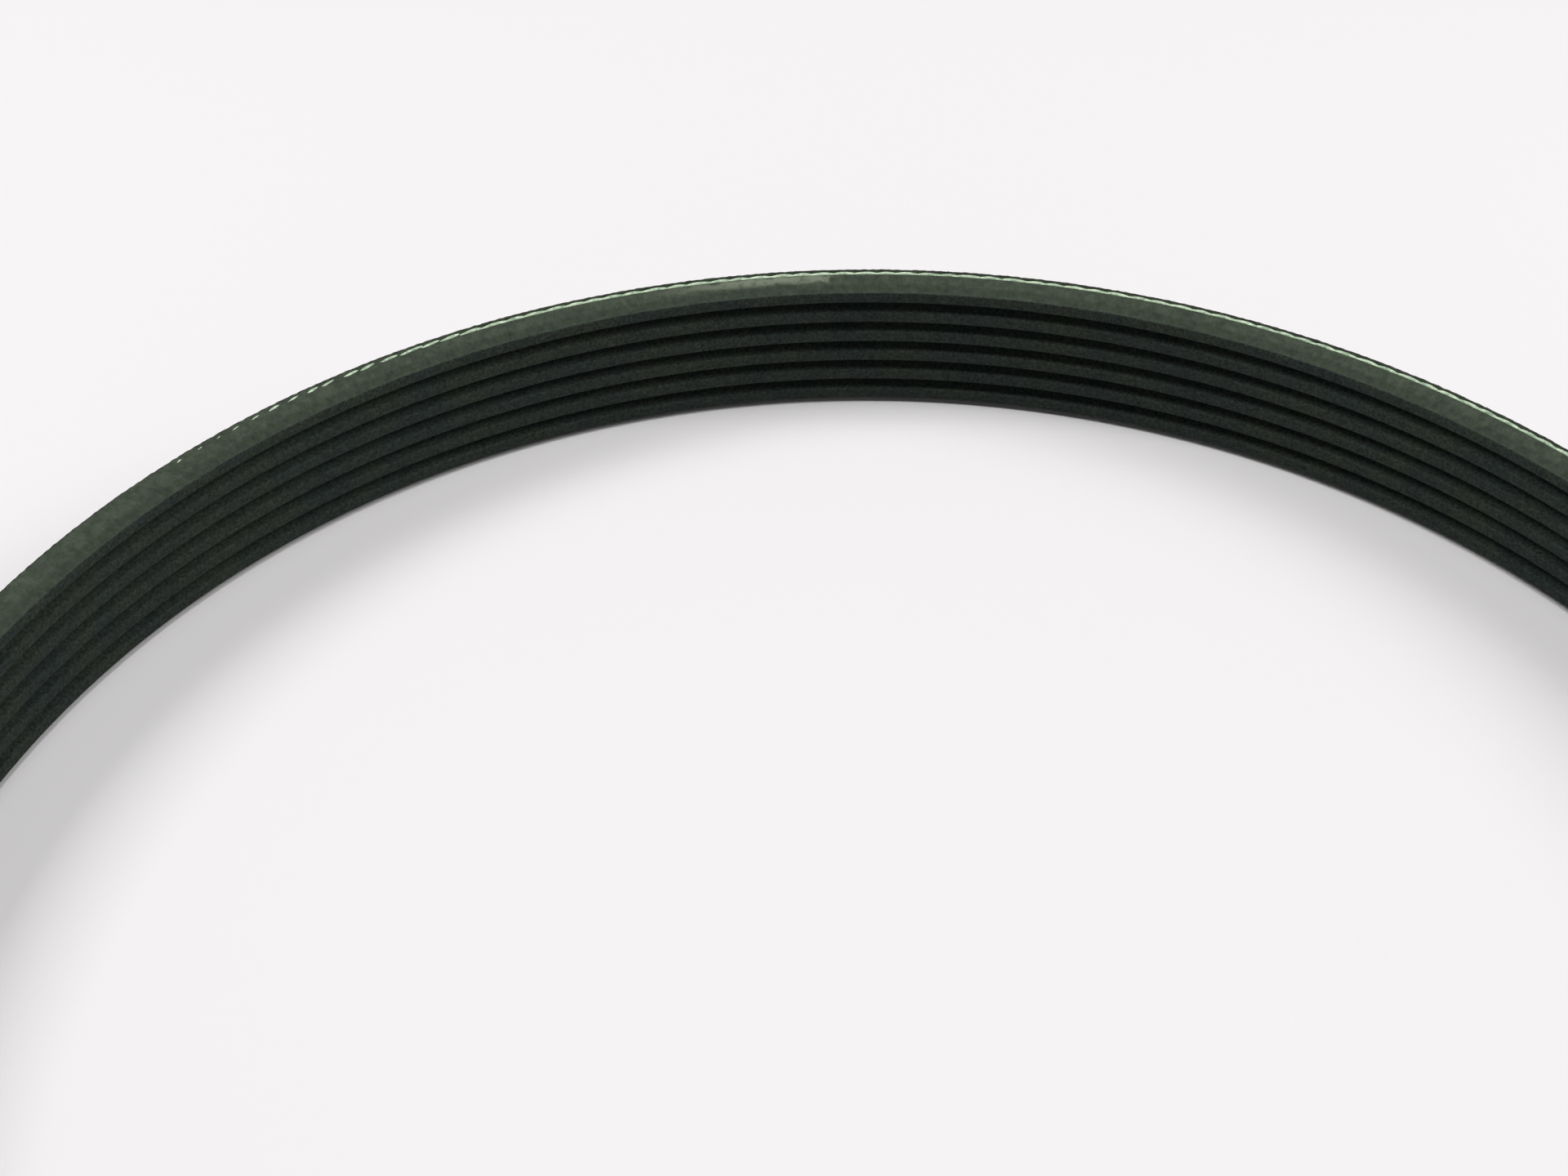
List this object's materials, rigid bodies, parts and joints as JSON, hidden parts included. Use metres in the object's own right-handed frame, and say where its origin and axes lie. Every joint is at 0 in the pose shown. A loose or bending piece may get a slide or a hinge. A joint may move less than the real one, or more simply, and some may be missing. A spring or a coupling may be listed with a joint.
{
  "type": "fan belt",
  "caption": "Endless ribbed rubber drive belt in a ring, stood on its cut edge. V ribs round the inner face run in grooved pulleys to turn a fan and accessories.",
  "frame": {"origin": "centre of the loop, on the surface that the belt's lower cut edge rests on", "axes": "+Z along the axis that the loop turns about, from the lower cut edge to the upper one"},
  "size_m": [0.2532, 0.2532, 0.0214],
  "materials": {
    "black_rubber": "matt black vulcanised rubber, cut edges greener and lighter, with the pale load cord showing along them"
  },
  "bodies": {
    "root": {"ribbed_belt": "black_rubber"}
  },
  "joints": []
}
